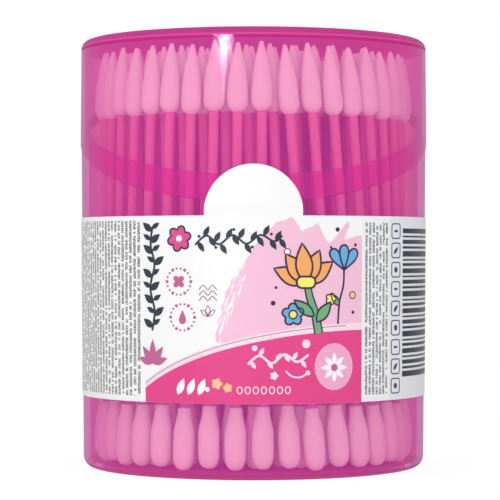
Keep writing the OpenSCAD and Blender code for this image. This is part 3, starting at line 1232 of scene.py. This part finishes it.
stroke_edge = [
    (-6.5, 24.2), (-6.75, 25.3), (-6.2, 26.6), (-6.3, 27.8), (-5.5, 29.1), (-5.6, 30.3),
    (-4.9, 31.6), (-4.95, 32.7), (-4.1, 33.9), (-3.9, 34.9), (-3.0, 35.6), (-2.5, 36.8), (-1.7, 37.6),
    (-1.2, 38.7), (-0.4, 39.5), (0.1, 40.9), (1.0, 41.7), (1.9, 43.3), (3.1, 44.0), (4.0, 45.0),
    (5.6, 45.3), (6.4, 45.85), (7.0, 45.6), (7.9, 44.3), (8.5, 43.3), (9.3, 43.9), (10.4, 44.1),
    (11.4, 44.9), (12.0, 43.6), (12.6, 42.4), (13.5, 41.3), (14.4, 41.9), (15.6, 43.3), (16.8, 44.7),
    (17.5, 45.1), (17.6, 44.2), (16.9, 42.9), (16.6, 41.9), (17.9, 42.2), (19.2, 42.6), (FIELD_RIGHT, 42.6),
]
stroke_foot = along_arc(0.9, left=FIELD_RIGHT, right=-5.5, steps=30)
ink("wash_pink", 1, (stroke_edge + stroke_foot)[::-1])
stroke_chance = np.random.RandomState(BRISTLE_SEED)
for _ in range(BRISTLE_MARKS):
    u = stroke_chance.uniform(-6.3, -1.6)
    v = 24.5 + (u + 6.4) * 2.6 + stroke_chance.uniform(-2.2, 2.6)
    length = stroke_chance.uniform(0.7, 2.6)
    width = stroke_chance.uniform(0.1, 0.34)
    ink("white", 2, leaf(u, v, length, width, 66 + stroke_chance.uniform(-9, 9)))
print("outlines of the fields and the stroke:", count_outlines())

# %% [markdown]
# ## The left of the label
# Here the plants are drawn flat in one ink each, in slate and in mauve, as a label prints its small signs.
# A garland and a sprig are a smooth curve with a leaf to the left and to the right in turn, so a few spots
# and a loop draw the whole plant.

# %% Draw the garland, the sprig and the rings of dots
LOTUS = (-18.75, 20.2)
TOP_BLOSSOM = (-13.3, 42.1)
UPPER_RING = (-13.4, 34.6)
LOWER_RING = (-12.7, 28.4)
RING_R = 2.3
RING_DOTS = 18
BUD = (-8.0, 28.6)
FINE_LINE_W = 0.13


def ring_of_dots(u, v):
    for k in range(RING_DOTS):
        a = 2 * math.pi * k / RING_DOTS
        size = 0.2 if k % 3 else 0.3
        ink("mauve", 3, oval(u + RING_R * math.cos(a), v + RING_R * math.sin(a), size, size, corners=12))


garland = curve((-18.8, 26.0), (-18.3, 29.5), (-19.2, 33.5), (-18.3, 37.5), (-19.1, 41.0), (-18.7, 44.2))
ink("slate", 3, *line(garland, 0.42))
for i, (u, v) in enumerate(garland[2:-2:5]):
    side = 1 if i % 2 else -1
    ink("slate", 3, leaf(u, v, 2.5, 1.25, 90 - side * 52), leaf(u, v + 0.5, 1.9, 0.9, 90 + side * 58))
for k in (-2, -1, 0, 1, 2):
    ink("mauve", 3, leaf(*LOTUS, 4.3 - abs(k) * 0.55, 1.35, 90 + k * 36))
outlined(blossom(*TOP_BLOSSOM, 2.25, petals=6, turn=15), "blossom_pink", 3, 0.3, "slate")
ink("white", 5, oval(*TOP_BLOSSOM, 0.55, 0.55))
sprig = curve((-10.3, 41.0), (-8.2, 42.6), (-6.0, 41.1), (-3.6, 42.7),
              (-1.2, 41.2), (1.2, 42.7), (3.6, 41.6), (5.0, 42.6))
ink("slate", 4, *line(sprig, 0.36))
for i, (u, v) in enumerate(sprig[3:-2:4]):
    turn = 62 if i % 2 else -58
    ink("slate", 4, leaf(u, v, 2.1, 0.95, turn))
    if i % 3 == 0:
        ink("slate", 4, oval(u + 0.2, v - math.copysign(0.95, turn), 0.26, 0.26))
ring_of_dots(*UPPER_RING)
ink("mauve", 3, blossom(*UPPER_RING, 1.25, petals=4, turn=45, depth=0.48))
ring_of_dots(*LOWER_RING)
ink("mauve", 3, drop(LOWER_RING[0], LOWER_RING[1] + 1.3, 2.5, 1.7, -90))
wave = curve((-9.6, 33.2), (-8.8, 34.0), (-8.0, 33.2), (-7.2, 34.0), (-6.4, 33.2))
for k in range(3):
    ink("thin_mauve", 3, *line([(u, v - k * 0.95) for u, v in wave], 0.14))
ink("thin_mauve", 3, *line(leaf(*BUD, 1.9, 0.9, 90), FINE_LINE_W, closed=True))
for side in (-1, 1):
    ink("thin_mauve", 3, *line(leaf(*BUD, 1.7, 0.7, 90 + side * 50), FINE_LINE_W, closed=True))
print("outlines so far:", count_outlines())

# %% [markdown]
# ## The flowers
# The flowers on the brush stroke are filled shapes with a dark plum line round them, like a colouring book
# that has been filled in. The petals in front lie on higher layers, so they cover the ones behind.

# %% Draw the flowers
ORANGE_FLOWER = (9.2, 34.4)
BLUE_BELL = (16.5, 36.6)
BLUE_BLOSSOM = (6.9, 28.9)
ORANGE_BERRY = (18.3, 32.2)
WHITE_BERRY = (5.9, 39.8)
# Places and radii
PLUM_DOTS = ((3.4, 30.9, 0.42), (3.9, 33.6, 0.26), (13.9, 40.6, 0.22),
             (15.2, 43.7, 0.4), (18.9, 41.0, 0.28), (18.4, 29.2, 0.3))
STRONG_LINE_W = 0.34
LIGHT_LINE_W = 0.26


def berry(u, v, fill, line_r):
    ink(fill, 3, oval(u, v, 0.5, 0.5, corners=20))
    ink("plum", 4, *line(oval(u, v, line_r, line_r, corners=20), 0.16, closed=True))


thick_stem = curve((11.6, 25.6), (10.9, 29.0), (9.9, 32.0), (9.3, 35.0))
ink("plum", 3, *line(thick_stem, np.linspace(1.75, 1.35, len(thick_stem))))
ink("green", 4, *line(thick_stem, np.linspace(1.2, 0.8, len(thick_stem))))
outlined(leaf(11.2, 27.6, 4.4, 1.9, 52), "green", 4)
outlined(leaf(10.7, 28.6, 4.6, 1.8, 142), "green", 4)
for turn, layer in ((150, 4), (30, 4), (120, 6), (60, 6), (90, 8)):
    length = 6.9 if turn == 90 else 6.2
    outlined(leaf(*ORANGE_FLOWER, length, 3.0, turn + 6), "orange", layer, STRONG_LINE_W)
outlined(rounded_box(7.55, 33.5, 10.9, 35.5, 0.9), "yellow", 10, STRONG_LINE_W)
thin_stem = curve((15.3, 27.2), (15.6, 31.0), (16.4, 34.0), (16.5, 37.0))
ink("plum", 3, *line(thin_stem, STRONG_LINE_W))
outlined(leaf(15.6, 30.4, 2.7, 1.1, 128), "green", 3, LIGHT_LINE_W)
for turn, layer in ((55, 4), (90, 6), (125, 4)):
    outlined(drop(*BLUE_BELL, 4.4, 2.3, turn), "blue", layer)
outlined(blossom(*BLUE_BLOSSOM, 1.95, turn=20), "blue", 5)
outlined(oval(*BLUE_BLOSSOM, 0.72, 0.72), "yellow", 7, LIGHT_LINE_W)
outlined(blossom(13.9, 31.6, 1.0), "yellow", 4, 0.24)
for u, v, radius in PLUM_DOTS:
    ink("plum", 3, oval(u, v, radius, radius, corners=16))
berry(*ORANGE_BERRY, "pale_orange", 0.62)
berry(*WHITE_BERRY, "white", 0.55)
print("outlines so far:", count_outlines())

# %% [markdown]
# ## The hot pink field
# On the strong pink only pale inks show, so its seeds, blossoms and tendrils are white, pale pink and pale
# orange. A round field at its right holds a daisy, eight leaves turned round one middle.

# %% Draw on the hot pink field
DAISY = (14.6, 19.6)
DAISY_FIELD = (14.6, 19.75)
DAISY_EYE_R = 0.5

for k in range(3):
    ink("white", 3, leaf(-13.6 + k * 1.95, 14.9, 3.1, 1.35, 68))
ink("white", 3, oval(-8.1, 15.9, 0.42, 0.42))
ink("pale_orange", 3, blossom(-6.4, 16.9, 1.0), blossom(-4.5, 16.2, 0.85, turn=30))
for k in range(7):
    ink("pale_pink", 3, *line(oval(-2.4 + k * 1.4, 15.8, 0.45, 0.6, corners=16), 0.2, closed=True))
swash = curve((-1.0, 20.3), (1.0, 21.8), (3.2, 20.5), (5.4, 22.0), (7.6, 20.7), (9.7, 21.9))
ink("pale_pink", 3, *line(swash, 0.42))
for i, (u, v) in enumerate(swash[3:-2:6]):
    ink("pale_pink", 3, leaf(u, v, 1.6, 0.75, 58 if i % 2 else -55))
tendril = curve((5.6, 19.1), (6.7, 18.2), (8.2, 18.0), (9.4, 18.6))
ink("pale_pink", 3, *line(tendril, 0.3), oval(9.6, 18.75, 0.42, 0.42))
ink("pale_pink", 3, oval(0.2, 23.1, 0.5, 0.5), oval(9.3, 23.8, 0.75, 0.75), blossom(3.6, 18.3, 0.75))
ink("disc_pink", 3, oval(*DAISY_FIELD, 3.75, 4.1, corners=48))
for turn in range(0, 360, 45):
    start_u = DAISY[0] + DAISY_EYE_R * math.cos(math.radians(turn))
    start_v = DAISY[1] + DAISY_EYE_R * math.sin(math.radians(turn))
    ink("white", 4, leaf(start_u, start_v, 2.1, 0.95, turn))
ink("mauve", 5, oval(*DAISY, 0.62, 0.62, corners=20))
print("outlines so far:", count_outlines())

# %% [markdown]
# ## The right of the label
# Round the right side stand a column of small frames and a block of dark stripes. The stripes repeat seven
# heights over and over, so they carry no code, and each frame holds a dot, a leaf or a bar in turn.

# %% Draw the frames and the stripes at the right
SIGNS = 9
SIGN_LEFT = 28.0
SIGN_LOW = 14.6
SIGN_PITCH = 3.45
SIGN_SIDE = 2.6
STRIPES = 26
STRIPE_LEFT = 31.6
STRIPE_RIGHT = 53.4
STRIPE_HEIGHTS = (1.0, 0.42, 0.72, 0.3, 0.86, 0.5, 0.3)
STRIPE_GAP = 0.44
STRIPES_LOW = 17.4


def sign(number, u, v):
    """A dot, a leaf or a bar in turn, for a frame whose lower left corner is at u, v."""
    signs = (
        oval(u + 1.3, v + 1.3, 0.5, 0.5),
        leaf(u + 0.7, v + 0.7, 1.7, 0.7, 45),
        rounded_box(u + 0.8, v + 1.1, u + 1.8, v + 1.5, 0.15),
    )
    return signs[number % len(signs)]


for k in range(SIGNS):
    v = SIGN_LOW + k * SIGN_PITCH
    frame_line = rounded_box(SIGN_LEFT, v, SIGN_LEFT + SIGN_SIDE, v + SIGN_SIDE, 0.45)
    ink("icon_grey", 3, *line(frame_line, 0.2, closed=True))
    ink("icon_grey", 3, sign(k, SIGN_LEFT, v))
v = STRIPES_LOW
for k in range(STRIPES):
    height = STRIPE_HEIGHTS[k % len(STRIPE_HEIGHTS)]
    ink("navy", 3, rounded_box(STRIPE_LEFT, v, STRIPE_RIGHT, v + height, 0.05))
    v += height + STRIPE_GAP
print("outlines in all:", count_outlines())

# %% [markdown]
# ## Ink on film
# Real ink is a few thousandths of a millimetre thick. Here each layer stands a little further out, so that
# a shape on top hides the one below it cleanly, and each shape is a closed solid that starts just inside
# the film.
# A flat face can't follow the round of the tub, so wide shapes are first cut into strips a millimetre wide.

# %% Print the label
LAYER_T = 0.014
INTO_FILM = 0.01
SAME_CORNER = 0.002
ON_THE_CUT = 0.0001


def flat_shapes(outlines):
    """All the outlines as one flat mesh, cut into strips narrow enough to follow the round of the tub."""
    flat = bmesh.new()
    for outline in outlines:
        flat.faces.new([flat.verts.new((u, v, 0)) for u, v in outline])
    bmesh.ops.remove_doubles(flat, verts=flat.verts[:], dist=SAME_CORNER)
    bmesh.ops.triangulate(flat, faces=flat.faces[:], ngon_method="EAR_CLIP")
    left = min(vert.co.x for vert in flat.verts)
    right = max(vert.co.x for vert in flat.verts)
    for cut in np.arange(math.floor(left) + 1, right):
        everything = flat.verts[:] + flat.edges[:] + flat.faces[:]
        at = (cut, 0, 0)
        bmesh.ops.bisect_plane(flat, geom=everything, dist=ON_THE_CUT, plane_co=at, plane_no=(1, 0, 0))
    return flat


for (name, layer), outlines in drawing.items():
    chain = Chain(f"ink_{name}_{layer}")
    colour = chain.principled(seen(*INKS[name]), FILM_ROUGHNESS, specular=0.4)
    finish = chain.finish(colour.outputs[0])
    top = FILM_T + layer * LAYER_T
    printed = wrapped(f"print_{name}_{layer}", flat_shapes(outlines), FILM_T - INTO_FILM, top, finish)
    print(printed.name, len(printed.data.polygons), "faces")

# %% [markdown]
# ## Studio
# The tub stands on a white floor in a white room, as such packs are shown in a shop's catalogue. Most light
# comes from all around. Three soft boxes, at the front, low at the front and at the left, give the swabs
# their round shading.
# What the plastic mirrors is darker than what stands behind it, since a real room is white only where the
# picture needs it. Light Path gives the room one brightness for the eye, one for the gloss, and one for
# the light that falls on things.

# %% Light the room
ROOM_SEEN = 1.02
ROOM_LIGHT = 0.73
ROOM_MIRRORED = 0.58

world = bpy.data.worlds.new("studio")
bpy.context.scene.world = world
world.use_nodes = True
tree = world.node_tree
path = tree.nodes.new("ShaderNodeLightPath")
mirrored = tree.nodes.new("ShaderNodeMapRange")
mirrored.inputs["To Min"].default_value = ROOM_LIGHT
mirrored.inputs["To Max"].default_value = ROOM_MIRRORED
tree.links.new(path.outputs["Is Glossy Ray"], mirrored.inputs["Value"])
shown = tree.nodes.new("ShaderNodeMapRange")
shown.inputs["To Max"].default_value = ROOM_SEEN
tree.links.new(path.outputs["Is Camera Ray"], shown.inputs["Value"])
tree.links.new(mirrored.outputs["Result"], shown.inputs["To Min"])
background = tree.nodes["Background"]
tree.links.new(shown.outputs["Result"], background.inputs["Strength"])
background.inputs["Color"].default_value = WHITE
print("the room gives", ROOM_LIGHT, "of light and looks", ROOM_MIRRORED, "bright in the gloss")

# %% Hang the soft boxes
TUB_MIDDLE = Vector((0, 0, 40 * MM))


def soft_box(name, where, width, height, power):
    data = bpy.data.lights.new(name, "AREA")
    data.shape = "RECTANGLE"
    data.size = width
    data.size_y = height
    data.energy = power
    box = bpy.data.objects.new(name, data)
    box.location = where
    box.rotation_euler = (TUB_MIDDLE - Vector(where)).to_track_quat("-Z", "Y").to_euler()
    box.visible_glossy = False
    bpy.context.scene.collection.objects.link(box)


soft_box("front_box", (-0.2, -0.95, 0.2), width=0.6, height=0.5, power=1.1)
soft_box("low_box", (0.1, -0.8, 0.06), width=0.8, height=0.1, power=1.6)
soft_box("left_box", (-0.8, -0.35, 0.3), width=0.4, height=0.7, power=0.7)

# %% [markdown]
# ## The streak on the lid
# Shiny plastic shows each lamp as a picture of itself. The one bright streak on the lid, narrow below and
# wide above, is such a picture, so it is made by a lamp of that outline: a glowing wedge at the front left,
# brighter towards its top. A painted streak would stay where it is when the tub turns, and this one moves.
# It shows in the gloss alone, so it adds nothing to the rest of the light.


# %% Hang the wedge of light
def stage_piece(name, corners, material, mirrored):
    mesh = bpy.data.meshes.new(name)
    mesh.from_pydata(corners, [], [tuple(range(len(corners)))])
    mesh.materials.append(material)
    piece = bpy.data.objects.new(name, mesh)
    piece.visible_glossy = mirrored
    bpy.context.scene.collection.objects.link(piece)
    return piece


WEDGE_LOW = 0.142
WEDGE_BRIGHT_OVER = 0.042
WEDGE_DIM = 5.0
WEDGE_BRIGHTER_BY = 75.0
WEDGE_MIDDLE = Vector((-0.332, -0.97, 0))
WEDGE_ACROSS = Vector((0.936, -0.351, 0))
# Heights, and half the width at each
WEDGE_EDGE = [(WEDGE_LOW, 0.01), (0.158, 0.022), (0.168, 0.029), (0.174, 0.036), (0.177, 0.048),
              (0.1787, 0.06), (0.181, 0.088), (0.183, 0.108), (0.194, 0.112)]


def wedge_corner(across, z):
    return WEDGE_MIDDLE + WEDGE_ACROSS * across + Vector((0, 0, z))


def wedge_glow():
    chain = Chain("wedge_glow")
    split = chain.add("ShaderNodeSeparateXYZ")
    chain.plug(split.inputs[0], chain.add("ShaderNodeTexCoord").outputs["Object"])
    from_low = chain.math("SUBTRACT", split.outputs["Z"], WEDGE_LOW)
    height = chain.math("DIVIDE", from_low, WEDGE_BRIGHT_OVER, clamp=True)
    brighter = chain.math("POWER", height, 3.0)
    glow = chain.add("ShaderNodeEmission")
    strength = chain.math("MULTIPLY_ADD", brighter, WEDGE_BRIGHTER_BY, WEDGE_DIM)
    chain.plug(glow.inputs["Strength"], strength)
    return chain.finish(glow.outputs[0])


right_edge = [wedge_corner(half, z) for z, half in WEDGE_EDGE]
left_edge = [wedge_corner(-half, z) for z, half in WEDGE_EDGE[::-1]]
wedge = stage_piece("wedge", right_edge + left_edge, wedge_glow(), mirrored=True)
wedge.visible_camera = False
wedge.visible_diffuse = False
wedge.visible_shadow = False
print("the wedge of light has", len(wedge.data.vertices), "corners")

# %% [markdown]
# ## The floor
# The picture behind the tub is pure white, and a lit floor alone would need more light than the tub can
# bear. So the eye sees a floor that mostly glows by itself, while all other light meets a plain matt one,
# which keeps the soft shade at the foot and throws only a natural amount of light back up.

# %% Lay the floor
FLOOR_GLOW = 1.06
FLOOR_MATT = (0.97, 0.97, 0.97, 1.0)
FLOOR_GLOW_SHARE = 0.85
FLOOR_REACH = 3.0


def floor_white():
    chain = Chain("floor_white")
    path = chain.add("ShaderNodeLightPath")
    glow = chain.add("ShaderNodeEmission")
    glow.inputs["Strength"].default_value = FLOOR_GLOW
    matt = chain.add("ShaderNodeBsdfDiffuse")
    matt.inputs["Color"].default_value = FLOOR_MATT
    directly_seen = chain.math("MULTIPLY", path.outputs["Is Camera Ray"], FLOOR_GLOW_SHARE)
    return chain.finish(chain.blend_shaders(directly_seen, matt.outputs[0], glow.outputs[0]))


floor_corners = [(x * FLOOR_REACH, y * FLOOR_REACH, 0) for x, y in ((-1, -1), (1, -1), (1, 1), (-1, 1))]
stage_piece("floor", floor_corners, floor_white(), mirrored=False)
print("the floor reaches", FLOOR_REACH, "m to each side")

# %% [markdown]
# ## Light through many walls
# Many thin walls lie behind one another, so light has to be let through enough of them.

# %% Finish
bpy.context.scene.cycles.transparent_max_bounces = 24
